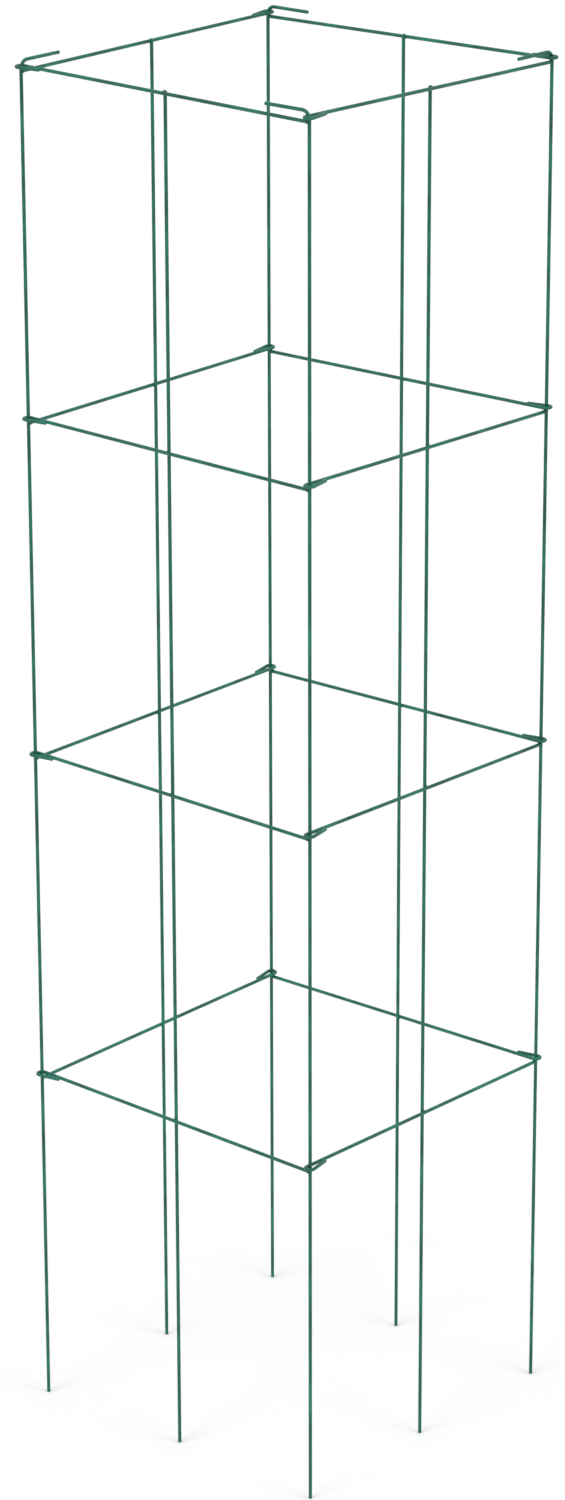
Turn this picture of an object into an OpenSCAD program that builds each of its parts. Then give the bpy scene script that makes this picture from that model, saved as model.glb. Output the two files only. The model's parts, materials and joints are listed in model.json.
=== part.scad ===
// Fold-flat tomato cage: four hinged panels of round steel wire round a square plan.
// Each panel is a corner rod with a bent-over top, a straight mid rod and a row of rungs.
// A rung is butt-welded to its own corner rod, crosses the mid rod at a weld,
// and ends in a hinge eye round the next panel's corner rod.
// The origin is on the ground at the middle of the square, with +Z up.

/* [Cage] */
// Side of the square, between the axes of two corner rods
side_w = 368; // [300:1:460]
// Number of rings of rungs
ring_count = 4; // [2:1:6]
// Height from one ring of rungs to the next
ring_gap = 355; // [150:1:420]
// Length of the legs below the lowest ring
leg_h = 366; // [120:1:450]

/* [Wire] */
// Diameter of every wire
wire_d = 3.6; // [2.6:0.1:5]
// Bevel on every cut end
cut_bevel = 0.4; // [0.1:0.05:0.8]
// Depth that two wires sink into each other at a weld
weld_sink = 0.9; // [0.4:0.05:1.2]

/* [Bent tops] */
// Clear height between the eyes of the top ring and the bent-over tops
top_clear = 2.5; // [2.2:0.1:20]
// Radius of the bend, on the wire's axis
top_bend_r = 8.5; // [5:0.5:9]
// Reach of the bent-over top from its rod's axis
top_reach = 54; // [30:0.5:120]

/* [Hinge eyes] */
// Running clearance between an eye and the rod inside it
eye_clear = 0.9; // [0.6:0.1:1.6]
// Clear height between an eye and the rung welded below it
eye_lift = 0.9; // [0.6:0.1:1.8]
// Turn of an eye past a half circle, which closes its tail onto the rung
tail_turn = 12; // [8:0.5:20]
// Gap between the end of a tail and its rung
tail_gap = 0.4; // [0.3:0.05:1]

/* [Mid rods] */
// Height of a mid rod's end above the top of the rung it crosses
mid_over = 0.6; // [0.2:0.1:20]

/* [Hidden] */
$fn = 48;
sides = ["front", "right", "back", "left"];
coat = [0.16, 0.43, 0.35];
wire_r = wire_d / 2;

// Heights of the rings at the corner rods, lowest first
ring_z = [for (i = [0 : ring_count - 1]) leg_h + i * ring_gap];
top_ring_z = ring_z[ring_count - 1];

// An eye runs round the next corner rod, and its rung is a tangent to it
eye_r = wire_d + eye_clear;
rung_rise = wire_d + eye_lift;
rung_plan = sqrt(side_w * side_w - eye_r * eye_r);
rung_run = sqrt(rung_plan * rung_plan + rung_rise * rung_rise);
rung_yaw = asin(eye_r / side_w);
rung_pitch = atan(rung_rise / rung_plan);
rung_start = wire_r - weld_sink;

// A bent-over top clears the eye that sits round its rod
top_h = rung_rise + wire_d + top_clear;

// A bend draws the wire down a little, and its ends lap into the straight runs it joins
bend_draw = 0.02;
bend_lap = 0.2;

// The tail runs on until its end lies one wire and one gap from the rung
tail_off = wire_d + tail_gap;
tail_run = (eye_r + (eye_r - tail_off) * cos(tail_turn)) / sin(tail_turn) / cos(tail_turn)
    - eye_r * tan(tail_turn);

// A mid rod stands in the middle of its panel and crosses the inner side of its rungs
mid_x = side_w / 2;
cross_off = wire_d - weld_sink;
mid_y = -mid_x * tan(rung_yaw) - cross_off / cos(rung_yaw);
mid_top = top_ring_z + mid_x / rung_plan * rung_rise + wire_r + mid_over;

// Puts a panel's own corner rod at its corner, with +X along the panel and +Y outward
module on_side(turn) {
    rotate([0, 0, turn * 90])
        translate([side_w / 2, -side_w / 2, 0])
            rotate([0, 0, 180])
                children();
}

// Straight wire along +Z, with a bevel at each end that is a cut end
module straight_wire(run, start_bevel, end_bevel) {
    rotate_extrude()
        polygon([
            [0, 0],
            [wire_r - start_bevel, 0],
            [wire_r, start_bevel],
            [wire_r, run - end_bevel],
            [wire_r - end_bevel, run],
            [0, run]
        ]);
}

// Bent wire in the XY plane, round the origin from +X
module bent_wire(bend_r, turn) {
    lap = atan(bend_lap / bend_r);
    rotate([0, 0, -lap])
        rotate_extrude(angle = turn + 2 * lap)
            translate([bend_r, 0])
                circle(r = wire_r - bend_draw);
}

// Corner rod: a leg and upright in one wire, bent over at the top along its own panel
module corner_rod() {
    top_z = top_ring_z + top_h;
    color(coat) {
        straight_wire(top_z - top_bend_r, cut_bevel, 0);
        translate([top_bend_r, 0, top_z - top_bend_r])
            rotate([90, 0, 0])
                rotate([0, 0, 90])
                    bent_wire(top_bend_r, 90);
        translate([top_bend_r, 0, top_z])
            rotate([0, 90, 0])
                straight_wire(top_reach - top_bend_r, 0, cut_bevel);
    }
}

// Mid rod: a straight leg and upright on the inner side of the rungs
module mid_rod() {
    color(coat)
        translate([mid_x, mid_y, 0])
            straight_wire(mid_top, cut_bevel, cut_bevel);
}

// Rung: butt-welded at its start, with a hinge eye and a closing tail at its far end
module rung(level) {
    color(coat)
        translate([0, 0, ring_z[level]])
            rotate([0, 0, -rung_yaw])
                rotate([0, -rung_pitch, 0])
                    translate([rung_run, 0, 0]) {
                        rotate([0, -90, 0])
                            straight_wire(rung_run - rung_start, 0, 0);
                        translate([0, eye_r, 0]) {
                            rotate([0, 0, -90])
                                bent_wire(eye_r, 180 + tail_turn);
                            rotate([0, 0, tail_turn])
                                translate([0, eye_r, 0])
                                    rotate([0, -90, 0])
                                        straight_wire(tail_run, 0, cut_bevel);
                        }
                    }
}

for (s = [0 : len(sides) - 1]) {
    on_side(s) corner_rod();
    on_side(s) mid_rod();
    for (i = [1 : ring_count]) {
        on_side(s) rung(i - 1);
    }
}
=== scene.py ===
import json
import math
import random

import bmesh
import bpy
from mathutils import Matrix, Vector


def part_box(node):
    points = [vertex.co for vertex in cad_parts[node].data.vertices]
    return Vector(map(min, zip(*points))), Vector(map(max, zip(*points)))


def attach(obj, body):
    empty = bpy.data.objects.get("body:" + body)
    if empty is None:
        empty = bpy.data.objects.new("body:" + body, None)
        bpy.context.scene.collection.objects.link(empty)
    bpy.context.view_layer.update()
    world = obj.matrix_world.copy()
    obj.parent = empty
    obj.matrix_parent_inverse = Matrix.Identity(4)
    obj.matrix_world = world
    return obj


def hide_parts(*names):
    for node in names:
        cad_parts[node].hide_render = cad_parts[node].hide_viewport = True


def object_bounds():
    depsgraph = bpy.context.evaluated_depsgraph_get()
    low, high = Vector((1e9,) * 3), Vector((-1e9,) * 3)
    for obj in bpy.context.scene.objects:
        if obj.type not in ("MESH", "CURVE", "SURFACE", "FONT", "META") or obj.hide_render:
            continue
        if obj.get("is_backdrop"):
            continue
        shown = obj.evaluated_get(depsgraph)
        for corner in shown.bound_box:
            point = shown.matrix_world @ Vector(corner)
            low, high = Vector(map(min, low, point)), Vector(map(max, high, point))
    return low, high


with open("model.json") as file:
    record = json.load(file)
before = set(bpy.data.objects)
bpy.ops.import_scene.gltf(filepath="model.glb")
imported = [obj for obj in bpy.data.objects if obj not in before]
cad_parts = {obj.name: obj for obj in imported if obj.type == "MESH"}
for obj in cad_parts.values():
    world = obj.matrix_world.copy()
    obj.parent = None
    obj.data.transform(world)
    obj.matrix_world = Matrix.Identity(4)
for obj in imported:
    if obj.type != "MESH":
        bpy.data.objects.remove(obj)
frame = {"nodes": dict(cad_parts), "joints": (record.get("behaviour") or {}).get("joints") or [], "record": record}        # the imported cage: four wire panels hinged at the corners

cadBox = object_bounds()
metre = 1000    # the sizes in this script are in millimetres
scene = bpy.context.scene
scene.view_settings.view_transform = "Standard"


def linear(hexColour):
    # sRGB to linear light, and opaque
    parts = [int(hexColour[i:i + 2], 16) / 255 for i in (1, 3, 5)]
    return [p / 12.92 if p <= 0.04045 else ((p + 0.055) / 1.055) ** 2.4 for p in parts] + [1.0]


def addNode(tree, kind, settings, links):
    # settings name an attribute or an input, links name an input and where it comes from
    node = tree.nodes.new(kind)
    for name, value in settings.items():
        if hasattr(node, name):
            setattr(node, name, value)
        else:
            node.inputs[name].default_value = value
    for name, (source, output) in links.items():
        tree.links.new(source.outputs[output], node.inputs[name])
    return node


# Powder-coated steel: dry polyester powder sprayed over the welded wire and baked to one skin.
# The eye gets a satin green with soft highlights and a ripple of orange peel. The film is paler
# where it runs thin, as over a sheared edge. The crook of each weld is darkened with painted shade
powderCoat = {
    "thinHex": "#187663",
    "bodyHex": "#0C6250",
    # darkest film tone, which also paints the shade in the crook of each weld
    "deepFilmAndShadeHex": "#054C3E",
    "driftMm": 45.0,        # film thickness drifts over a few centimetres
    "driftDetail": 3.0,
    "driftBreak": 0.55,     # strength of the finer drift
    "driftSpan": (0.32, 0.68),
    "peelMm": 4.0,          # real orange peel is about 1.5 mm, too fine to show, so it is drawn coarser
    "peelDepthMm": 0.5,     # and deeper
    "peelSpan": (0.3, 0.7),
    "satin": (0.30, 0.46),  # roughness of the baked skin
    "ior": 1.5,
    "specular": 0.35,
}


def makePowderCoat(look):
    material = bpy.data.materials.new("powderCoatedSteel")
    material.use_nodes = True
    tree = material.node_tree
    tree.nodes.clear()
    place = addNode(tree, "ShaderNodeTexCoord", {}, {})
    drift = addNode(tree, "ShaderNodeTexNoise",
                    {"Scale": metre / look["driftMm"], "Detail": look["driftDetail"],
                     "Roughness": look["driftBreak"]},
                    {"Vector": (place, "Object")})
    # read from the wire: thinner film on cut ends, and painted shade in the crook of each weld
    filmAndShade = addNode(tree, "ShaderNodeAttribute", {"attribute_name": "filmAndWeldShade"}, {})
    # drift of the film, lightened where it runs thin and darkened by painted shade at the welds
    toneAndShade = addNode(tree, "ShaderNodeMath", {"operation": "SUBTRACT"},
                       {0: (drift, "Fac"), 1: (filmAndShade, "Fac")})
    coatAndShade = addNode(tree, "ShaderNodeValToRGB", {}, {"Fac": (toneAndShade, "Value")})
    stops = coatAndShade.color_ramp.elements
    stops[0].position, stops[0].color = look["driftSpan"][0], linear(look["deepFilmAndShadeHex"])
    stops[1].position, stops[1].color = look["driftSpan"][1], linear(look["thinHex"])
    stops.new(sum(look["driftSpan"]) / 2).color = linear(look["bodyHex"])
    peel = addNode(tree, "ShaderNodeTexNoise", {"Scale": metre / look["peelMm"]},
                   {"Vector": (place, "Object")})
    satin = addNode(tree, "ShaderNodeMapRange",
                    {"From Min": look["peelSpan"][0], "From Max": look["peelSpan"][1],
                     "To Min": look["satin"][0], "To Max": look["satin"][1]},
                    {"Value": (peel, "Fac")})
    ripple = addNode(tree, "ShaderNodeBump", {"Distance": look["peelDepthMm"] / metre},
                     {"Height": (peel, "Fac")})
    skin = addNode(tree, "ShaderNodeBsdfPrincipled",
                   {"IOR": look["ior"], "Specular IOR Level": look["specular"]},
                   {"Base Color": (coatAndShade, "Color"), "Roughness": (satin, "Result"),
                    "Normal": (ripple, "Normal")})
    addNode(tree, "ShaderNodeOutputMaterial", {}, {"Surface": (skin, "BSDF")})
    return material


coatMaterial = makePowderCoat(powderCoat)
print("material: " + coatMaterial.name)

# The frame gives the places of the wires. A panel is made with its corner rod at the origin,
# +X along the panel, +Y outward and +Z up
sides = ["front", "right", "back", "left"]
hinges = {joint["name"]: Vector(joint["pos_m"]) * metre for joint in frame["joints"]}
mounts = {mount["name"]: mount for mount in frame["record"]["mounts"]}
sideWidth = (hinges["back_fold"] - hinges["front_fold"]).length
wireR = mounts["front_bent_top"]["dims"]["r_mm"]
xAxis, yAxis, zAxis = Vector((1, 0, 0)), Vector((0, 1, 0)), Vector((0, 0, 1))


def panelPlace(side):
    # from millimetres in a panel to its place in the frame
    turn = Matrix.Rotation(math.radians(90 * sides.index(side)), 4, "Z")
    corner = Matrix.Translation((sideWidth / 2, -sideWidth / 2, 0))
    return Matrix.Scale(1 / metre, 4) @ turn @ corner @ Matrix.Rotation(math.pi, 4, "Z")


def inPanel(spot):
    # a spot on the front panel, which the other three are copies of
    return panelPlace("front").inverted() @ Vector(spot)


# Wire: round steel, sheared to length, with every cut end rounded over by the coat
wire = {
    "roundSides": 28,    # facets round the wire
    "stretch": 45.0,     # longest straight piece of mesh
    "nearest": 0.0001,   # stations closer than this count as one
    "cutEdge": 0.55,     # round that the coat leaves on a cut end
    "cutSteps": 5,
    "cutThin": 0.22,     # how thin the coat is on a cut end
}
wireTurns = [2 * math.pi * k / wire["roundSides"] for k in range(wire["roundSides"])]


# A wire is a list of stations, each with its centre, its radius and a film value: below zero where the coat
# runs thin, above zero where shade is painted at a weld
def straightRun(start, end):
    count = math.ceil((end - start).length / wire["stretch"])
    return [(start.lerp(end, i / count), wireR, 0.0) for i in range(count + 1)]


def bentRun(centre, across, up, radius, turn, steps):
    # arc from centre + across towards centre + up
    turns = [turn * i / steps for i in range(steps + 1)]
    return [(centre + (across * math.cos(t) + up * math.sin(t)) * radius, wireR, 0.0) for t in turns]


def cutEnd(tip, inward):
    # from the flat of the cut, round its edge and onto the wire
    edge, thin, steps = wire["cutEdge"], wire["cutThin"], wire["cutSteps"]
    turns = [math.pi / 2 * i / steps for i in range(steps + 1)]
    return [(tip + inward * edge * (1 - math.cos(t)), wireR - edge + edge * math.sin(t), -thin * math.cos(t))
            for t in turns]


# The skin is also laid flat on a square sheet, through which its finish can be baked. The wire
# lies there in rows of equal length, and a last row holds its two ends and the throat of a weld
skinSheet = {
    "map": "OFBake",       # the export looks for a map of this name
    "rowGap": 1.5,
    "ends": (2.0, 6.5),    # places of the ends along the last row
    "throat": 10.0,        # place of the throat there
    "throatHigh": 2.4,     # about the length of its arc
    "lift": 2.0,           # height of all these above the row before
}
wireRound = 2 * math.pi * wireR
rowPitch = wireRound + skinSheet["rowGap"]


def countRows(skinLength):
    # enough to make the sheet square, where a stretch of mesh may overhang the end of its row
    rows = 1
    while (rows + 1) * rowPitch < skinLength / rows + wire["stretch"]:
        rows += 1
    return rows


def newWire():
    bm = bmesh.new()
    bm.verts.layers.float.new("filmAndWeldShade")
    bm.loops.layers.uv.new(skinSheet["map"])
    return bm


def layFace(bm, corners, spots, rows):
    # a face of the wire, and where its corners lie on the sheet
    flat = bm.loops.layers.uv[skinSheet["map"]]
    for loop, spot in zip(bm.faces.new(corners).loops, spots):
        loop[flat].uv = Vector(spot) / rowPitch / (rows + 1)


def ringWire(bm, points):
    # a ring of corners at each station, turned from heading to heading without twist
    coatAndShade = bm.verts.layers.float["filmAndWeldShade"]
    runs = [(b[0] - a[0]).normalized() for a, b in zip(points, points[1:])]
    headings = [(a + b).normalized() for a, b in zip(runs[:1] + runs, runs + runs[-1:])]
    spoke = headings[0].orthogonal().normalized()
    last = headings[0]
    rings = []
    for heading, (point, radius, filmAndShade) in zip(headings, points):
        spoke = last.rotation_difference(heading) @ spoke
        cross = heading.cross(spoke)
        last = heading
        ring = [bm.verts.new(point + (spoke * math.cos(t) + cross * math.sin(t)) * radius) for t in wireTurns]
        for corner in ring:
            corner[coatAndShade] = filmAndShade
        rings.append(ring)
    return rings


def sweepWire(bm, stations):
    # one closed round skin, and the number of rows in which it lies flat
    points = stations[:1]
    for station in stations[1:]:
        if (station[0] - points[-1][0]).length > wire["nearest"]:
            points.append(station)
    rings = ringWire(bm, points)
    lengths = [math.hypot((b[0] - a[0]).length, b[1] - a[1]) for a, b in zip(points, points[1:])]
    rows = countRows(sum(lengths))
    rowLength = sum(lengths) / rows
    facet = wireRound / wire["roundSides"]
    done = 0.0
    for a, b, length in zip(rings, rings[1:], lengths):
        row = int((done + length / 2) / rowLength)
        left = done - row * rowLength + wire["stretch"] / 2
        right = left + length
        for k in range(wire["roundSides"]):
            low = row * rowPitch + facet * k
            high = low + facet
            layFace(bm, (a[k], a[k - 1], b[k - 1], b[k]),
                    ((left, high), (left, low), (right, low), (right, high)), rows)
        done += length
    level = rows * rowPitch + skinSheet["lift"]
    ends = (rings[0], points[0][1]), (rings[-1][::-1], points[-1][1])
    for (ring, radius), along in zip(ends, skinSheet["ends"]):
        layFace(bm, ring,
                [(along + radius * math.cos(t), level + radius * math.sin(t)) for t in wireTurns], rows)
    return rows


def makePiece(name, side, node, bm):
    bmesh.ops.transform(bm, matrix=panelPlace(side), verts=bm.verts)
    bmesh.ops.recalc_face_normals(bm, faces=bm.faces)
    mesh = bpy.data.meshes.new(name)
    bm.to_mesh(mesh)
    bm.free()
    mesh.polygons.foreach_set("use_smooth", [True] * len(mesh.polygons))
    mesh.materials.append(coatMaterial)
    piece = bpy.data.objects.new(name, mesh)
    scene.collection.objects.link(piece)
    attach(piece, side + "_panel")
    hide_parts(node)


# Corner rod: leg and upright in one wire, bent over at the top along its own panel
bentTop = inPanel(mounts["front_bent_top"]["pos_m"])    # middle of the straight part
cornerRod = {
    "topZ": bentTop.z,
    "bendR": bentTop.x - mounts["front_bent_top"]["dims"]["length_mm"] / 2,
    "bendSteps": 14,
    "reach": inPanel(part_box("front_corner_rod")[0]).x,
}


def makeCornerRod(side):
    bend = cornerRod["bendR"]
    shoulder = Vector((bend, 0, cornerRod["topZ"] - bend))
    tip = Vector((cornerRod["reach"], 0, cornerRod["topZ"]))
    edge = wire["cutEdge"]
    stations = cutEnd(Vector(), zAxis)
    stations += straightRun(zAxis * edge, shoulder - xAxis * bend)
    stations += bentRun(shoulder, -xAxis, zAxis, bend, math.pi / 2, cornerRod["bendSteps"])
    stations += straightRun(shoulder + zAxis * bend, tip - xAxis * edge)
    stations += reversed(cutEnd(tip, -xAxis))
    bm = newWire()
    sweepWire(bm, stations)
    makePiece("cornerRod." + side, side, side + "_corner_rod", bm)


for side in sides:
    makeCornerRod(side)
print("corner rods: %d" % len(sides))

# Mid rod: straight leg and upright on the inner side of the rungs
midRod = {
    "foot": inPanel(mounts["front_mid_leg"]["pos_m"]),
    "topZ": inPanel(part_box("front_mid_rod")[1]).z,
}


def makeMidRod(side):
    foot = midRod["foot"]
    top = foot + zAxis * midRod["topZ"]
    edge = wire["cutEdge"]
    stations = cutEnd(foot, zAxis)
    stations += straightRun(foot + zAxis * edge, top - zAxis * edge)
    stations += reversed(cutEnd(top, -zAxis))
    bm = newWire()
    sweepWire(bm, stations)
    makePiece("midRod." + side, side, side + "_mid_rod", bm)


for side in sides:
    makeMidRod(side)
print("mid rods: %d" % len(sides))

# Rung: butt-welded to its own corner rod, welded across the mid rod,
# and turned round the next panel's corner rod as a hairpin hinge eye with a tail
rung = {
    "levels": sum(name.startswith("front_rung_") for name in frame["nodes"]),
    "eyeClear": 0.9,       # play between an eye and the rod inside it
    "eyeLift": 0.9,        # room between an eye and the rung welded below it
    "eyeSteps": 26,
    "tailTurnDeg": 12,     # an eye turns this far past a half circle
    "tailGap": 0.4,        # from the end of the tail to the rung
}
eyeR = 2 * wireR + rung["eyeClear"]
rise = 2 * wireR + rung["eyeLift"]
# seen from above, a rung runs from its corner rod as a tangent to the eye
rungPlan = math.sqrt(sideWidth ** 2 - eyeR ** 2)
rungRun = math.hypot(rungPlan, rise)
rungYaw = math.asin(eyeR / sideWidth)
rungPitch = math.atan(rise / rungPlan)
rungAlong = Vector((math.cos(rungYaw), -math.sin(rungYaw), 0))
rungOut = Vector((math.sin(rungYaw), math.cos(rungYaw), 0))
# the tail runs on until its end lies one wire and one gap from the rung
tailTurn = math.radians(rung["tailTurnDeg"])
tailOff = 2 * wireR + rung["tailGap"]
tailRun = ((eyeR + (eyeR - tailOff) * math.cos(tailTurn)) / math.sin(tailTurn) / math.cos(tailTurn)
           - eyeR * math.tan(tailTurn))

# Welds: the butt joint swells where the wire was upset, and the crossing has a smooth throat
weld = {
    "crest": 0.27,      # share by which a butt weld is fuller than the wire
    "crestAt": 1.9,     # from the axis of the corner rod
    "nose": 2.0,        # length of its round nose, which is sunk in the rod
    "fade": 2.5,        # length along the rung in which it dies out
    "swellSteps": 5,    # in the nose, and again in the fade
    "throatR": 1.2,     # hollow round of a cross weld
    "throatSteps": 8,   # across the hollow
    "turnSteps": 60,    # round the crossing
    "bury": 0.04,       # rim of the throat, sunk into the wires
    "heart": 0.2,       # middle of the throat, deep in the wires
    "spread": 0.12,     # difference from weld to weld
    "weldShade": 0.2,        # how much painted shade darkens the crook of a weld
    "seed": 5,
}
weldChance = random.Random(weld["seed"])


def buttSwell(scale):
    # a quarter of an ellipse up to the crest, and half a wave down to the plain wire
    crest, crestAt, steps = weld["crest"], weld["crestAt"], weld["swellSteps"]
    shares = [i / steps for i in range(1, steps + 1)]
    turns = [math.pi / 2 * share for share in shares]
    swell = [(crestAt - weld["nose"] * math.cos(t), (1 + crest) * math.sin(t) - 1) for t in turns]
    swell += [(crestAt + weld["fade"] * share, crest * (1 + math.cos(math.pi * share)) / 2)
              for share in shares]
    # painted shade, deepest at the crest next to the corner rod
    return [(xAxis * place, wireR * (1 + extra * scale), weld["weldShade"] * max(0.0, extra) / crest)
            for place, extra in swell]


def rollBall(gap, reach, turn):
    # centre of a ball that lies a reach from two axes: one along X, one along Y and a gap above it
    lean = math.cos(2 * turn)
    room = (reach / gap) ** 2 - 1 / 4
    out = gap * math.sqrt(2 * room / (math.sqrt(lean ** 2 * room + 1 / 4) + 1 / 2))
    return Vector((out * math.cos(turn), out * math.sin(turn), gap / 2 + out ** 2 * lean / (2 * gap)))


def throatLoop(bm, place, gap, reach, turn):
    # along the ball from just inside one wire to just inside the other
    coatAndShade = bm.verts.layers.float["filmAndWeldShade"]
    ball = rollBall(gap, reach, turn)
    inside = (wireR - weld["bury"]) / reach
    onLow = Vector((ball.x, ball.y * inside, ball.z * inside)) - ball
    onHigh = Vector((ball.x * inside, ball.y, gap + (ball.z - gap) * inside)) - ball
    sweep = onLow.angle(onHigh)
    loop = []
    for k in range(weld["throatSteps"] + 1):
        share = k / weld["throatSteps"]
        spot = onLow * math.sin((1 - share) * sweep) + onHigh * math.sin(share * sweep)
        corner = bm.verts.new(place @ (ball + spot / math.sin(sweep)))
        # painted shade, deepest in the middle of the crook
        corner[coatAndShade] = weld["weldShade"] * math.sin(math.pi * share)
        loop.append(corner)
    return loop


def crossThroat(bm, place, gap, scale, rows):
    # skin of a ball rolled round the crossing of two wires, and closed inside them
    reach = wireR + weld["throatR"] * scale
    turns = [2 * math.pi * i / weld["turnSteps"] for i in range(weld["turnSteps"])]
    loops = [throatLoop(bm, place, gap, reach, turn) for turn in turns]
    low = bm.verts.new(place @ Vector((0, 0, weld["heart"])))
    high = bm.verts.new(place @ Vector((0, 0, gap - weld["heart"])))
    across = 2 * math.pi * reach / weld["turnSteps"]
    up = skinSheet["throatHigh"] / weld["throatSteps"]
    levels = [rows * rowPitch + skinSheet["lift"] + k * up for k in range(weld["throatSteps"] + 1)]
    for i, (a, b) in enumerate(zip(loops, loops[1:] + loops[:1])):
        left = skinSheet["throat"] + i * across
        right = left + across
        for k in range(weld["throatSteps"]):
            layFace(bm, (a[k], b[k], b[k + 1], a[k + 1]),
                    ((left, levels[k]), (right, levels[k]),
                     (right, levels[k + 1]), (left, levels[k + 1])), rows)
        layFace(bm, (low, b[0], a[0]),
                ((left, levels[0] - up), (right, levels[0]), (left, levels[0])), rows)
        layFace(bm, (high, a[-1], b[-1]),
                ((left, levels[-1] + up), (left, levels[-1]), (right, levels[-1])), rows)
        for k in (0, -1):
            bm.edges.get((a[k], b[k])).smooth = False    # the rim, inside the wires


def makeRung(side, level):
    node = "%s_rung_%d" % (side, level)
    turn = math.pi + tailTurn
    eye = bentRun(Vector((rungRun, eyeR, 0)), -yAxis, xAxis, eyeR, turn, rung["eyeSteps"])
    tailFrom = eye[-1][0]
    tailAlong = xAxis * math.cos(turn) + yAxis * math.sin(turn)
    tip = tailFrom + tailAlong * tailRun
    swellScale = weldChance.uniform(1 - weld["spread"], 1 + weld["spread"])
    stations = buttSwell(swellScale)
    stations += straightRun(xAxis * (weld["crestAt"] + weld["fade"]), xAxis * rungRun)
    stations += eye
    stations += straightRun(tailFrom, tip - tailAlong * wire["cutEdge"])
    stations += reversed(cutEnd(tip, -tailAlong))
    bm = newWire()
    rows = sweepWire(bm, stations)
    # the throat's X runs along the rung and its Z inward to the mid rod
    crossAt = midRod["foot"].dot(rungAlong) / math.cos(rungPitch)
    crossGap = -midRod["foot"].dot(rungOut)
    inward = Matrix.Translation((crossAt, 0, 0)) @ Matrix.Rotation(math.pi / 2, 4, "X")
    throatScale = weldChance.uniform(1 - weld["spread"], 1 + weld["spread"])
    crossThroat(bm, inward, crossGap, throatScale, rows)
    # a rung is lowest at its butt weld and climbs to its eye
    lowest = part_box(node)[0].z * metre
    lie = (Matrix.Translation((0, 0, lowest + wireR))
           @ Matrix.Rotation(-rungYaw, 4, "Z") @ Matrix.Rotation(-rungPitch, 4, "Y"))
    bmesh.ops.transform(bm, matrix=lie, verts=bm.verts)
    makePiece("rung%d.%s" % (level, side), side, node, bm)


for side in sides:
    for level in range(1, rung["levels"] + 1):
        makeRung(side, level)
print("rungs: %d, each with a butt weld, a cross weld and a hinge eye" % (len(sides) * rung["levels"]))

# Floor: board rolled with matt white emulsion, far wider than the picture.
# The eye gets an even white with only the cage's own soft shadow on it
floorBoard = {
    "hex": "#FEFEFD",
    "roughness": 0.9,
    "specular": 0.1,
    "half": 40000.0,
    "tiles": 8,
    "drop": 0.4,         # the legs stand this far clear of it
}


def makeFloor(look):
    bm = bmesh.new()
    bmesh.ops.create_grid(bm, x_segments=look["tiles"], y_segments=look["tiles"], size=look["half"])
    bmesh.ops.translate(bm, vec=(0, 0, -look["drop"]), verts=bm.verts)
    bmesh.ops.transform(bm, matrix=Matrix.Scale(1 / metre, 4), verts=bm.verts)
    mesh = bpy.data.meshes.new("floorBoard")
    bm.to_mesh(mesh)
    bm.free()
    material = bpy.data.materials.new("mattWhiteBoard")
    material.use_nodes = True
    tree = material.node_tree
    tree.nodes.clear()
    paint = addNode(tree, "ShaderNodeBsdfPrincipled",
                    {"Base Color": linear(look["hex"]), "Roughness": look["roughness"],
                     "Specular IOR Level": look["specular"]}, {})
    addNode(tree, "ShaderNodeOutputMaterial", {}, {"Surface": (paint, "BSDF")})
    mesh.materials.append(material)
    floor = bpy.data.objects.new("floorBoard", mesh)
    scene.collection.objects.link(floor)
    floor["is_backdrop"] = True


makeFloor(floorBoard)

# Light: an even white room and two broad soft lamps high up on either side of the camera
studio = {
    "hex": "#FFFFFF",
    "room": 0.62,        # level at which the room lights the cage
    "seen": 1.0,         # level at which the eye and the reflections see it
    # name, azimuth and elevation in degrees, strength
    "lamps": [("softLampLeft", -95, 52, 0.90), ("softLampRight", 5, 52, 0.75)],
    "lampSpreadDeg": 30,
}


def towards(azimuthDeg, elevationDeg):
    # azimuth 0 is straight in front of the cage, and 90 on its right
    a, e = math.radians(azimuthDeg), math.radians(elevationDeg)
    return Vector((math.sin(a) * math.cos(e), -math.cos(a) * math.cos(e), math.sin(e)))


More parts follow.
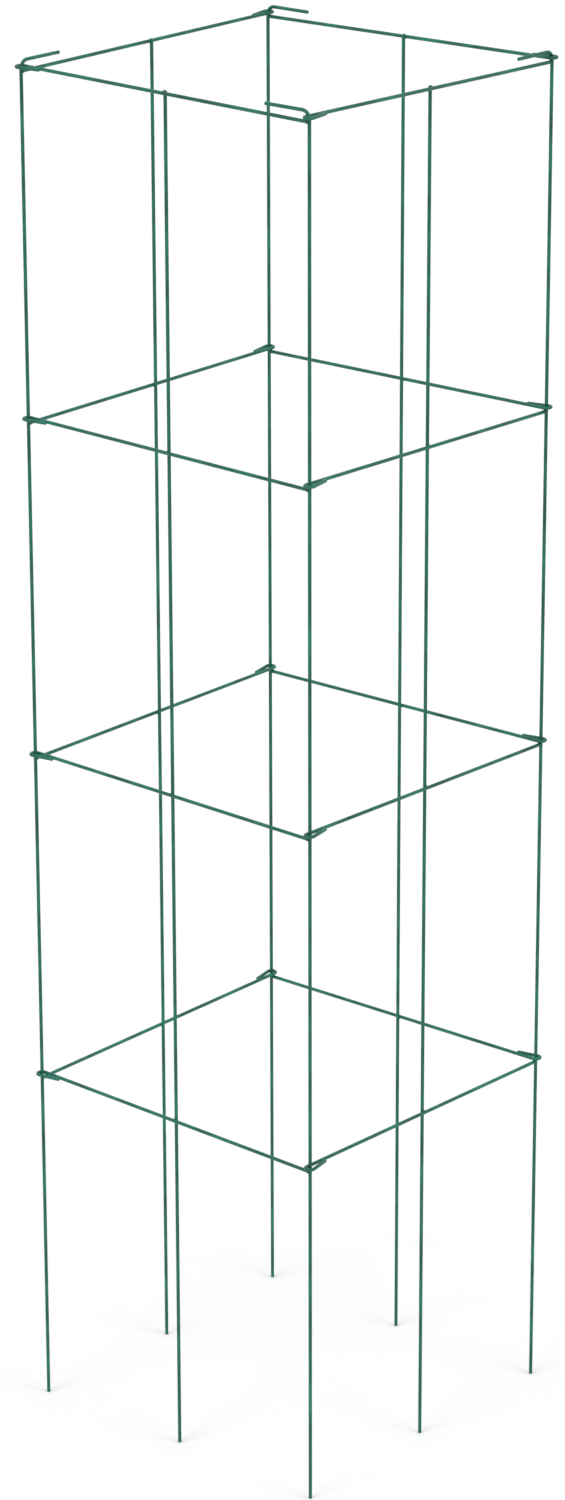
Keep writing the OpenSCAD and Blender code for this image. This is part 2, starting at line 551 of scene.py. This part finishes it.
def makeStudio(look):
    world = bpy.data.worlds.new("whiteRoom")
    scene.world = world
    world.use_nodes = True
    tree = world.node_tree
    tree.nodes.clear()
    path = addNode(tree, "ShaderNodeLightPath", {}, {})
    looked = addNode(tree, "ShaderNodeMath", {"operation": "MAXIMUM"},
                     {0: (path, "Is Camera Ray"), 1: (path, "Is Glossy Ray")})
    seen = addNode(tree, "ShaderNodeMath", {"operation": "MAXIMUM"},
                   {0: (looked, "Value"), 1: (path, "Is Transmission Ray")})
    glow = addNode(tree, "ShaderNodeMapRange", {"To Min": look["room"], "To Max": look["seen"]},
                   {"Value": (seen, "Value")})
    room = addNode(tree, "ShaderNodeBackground", {"Color": linear(look["hex"])},
                   {"Strength": (glow, "Result")})
    addNode(tree, "ShaderNodeOutputWorld", {}, {"Surface": (room, "Background")})
    for name, azimuth, elevation, strength in look["lamps"]:
        lamp = bpy.data.lights.new(name, "SUN")
        lamp.energy = strength
        lamp.angle = math.radians(look["lampSpreadDeg"])
        holder = bpy.data.objects.new(name, lamp)
        holder.rotation_euler = towards(azimuth, elevation).to_track_quat("Z", "Y").to_euler()
        scene.collection.objects.link(holder)


makeStudio(studio)
print("stage: floor, room and %d lamps" % len(studio["lamps"]))

# Camera: from the photograph's angle, looking down on the corner between the left and front panels
viewpoint = {
    "azimuthDeg": -49.338,
    "elevationDeg": 19.512,
    "distance": 4920.4,
    "aim": (-4.4, 5.2, 722.2),
    "rollDeg": -0.157,
    "lens": 115.02,
}


def makeCamera(look):
    lens = bpy.data.cameras.new("camera")
    lens.lens = look["lens"]
    camera = bpy.data.objects.new("camera", lens)
    back = towards(look["azimuthDeg"], look["elevationDeg"])
    eye = (Vector(look["aim"]) + back * look["distance"]) / metre
    turn = back.to_track_quat("Z", "Y").to_matrix().to_4x4()
    roll = Matrix.Rotation(math.radians(look["rollDeg"]), 4, "Z")
    camera.matrix_world = Matrix.Translation(eye) @ turn @ roll
    scene.collection.objects.link(camera)
    scene.camera = camera


makeCamera(viewpoint)
print("camera: %.0f mm lens, %.2f m away" % (viewpoint["lens"], viewpoint["distance"] / metre))

sizes = {"cad": [list(corner) for corner in cadBox], "visual": [list(corner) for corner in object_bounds()]}
for name, box in sizes.items():
    print("size: %s box from %s to %s" % (name, *[[round(v, 4) for v in corner] for corner in box]))
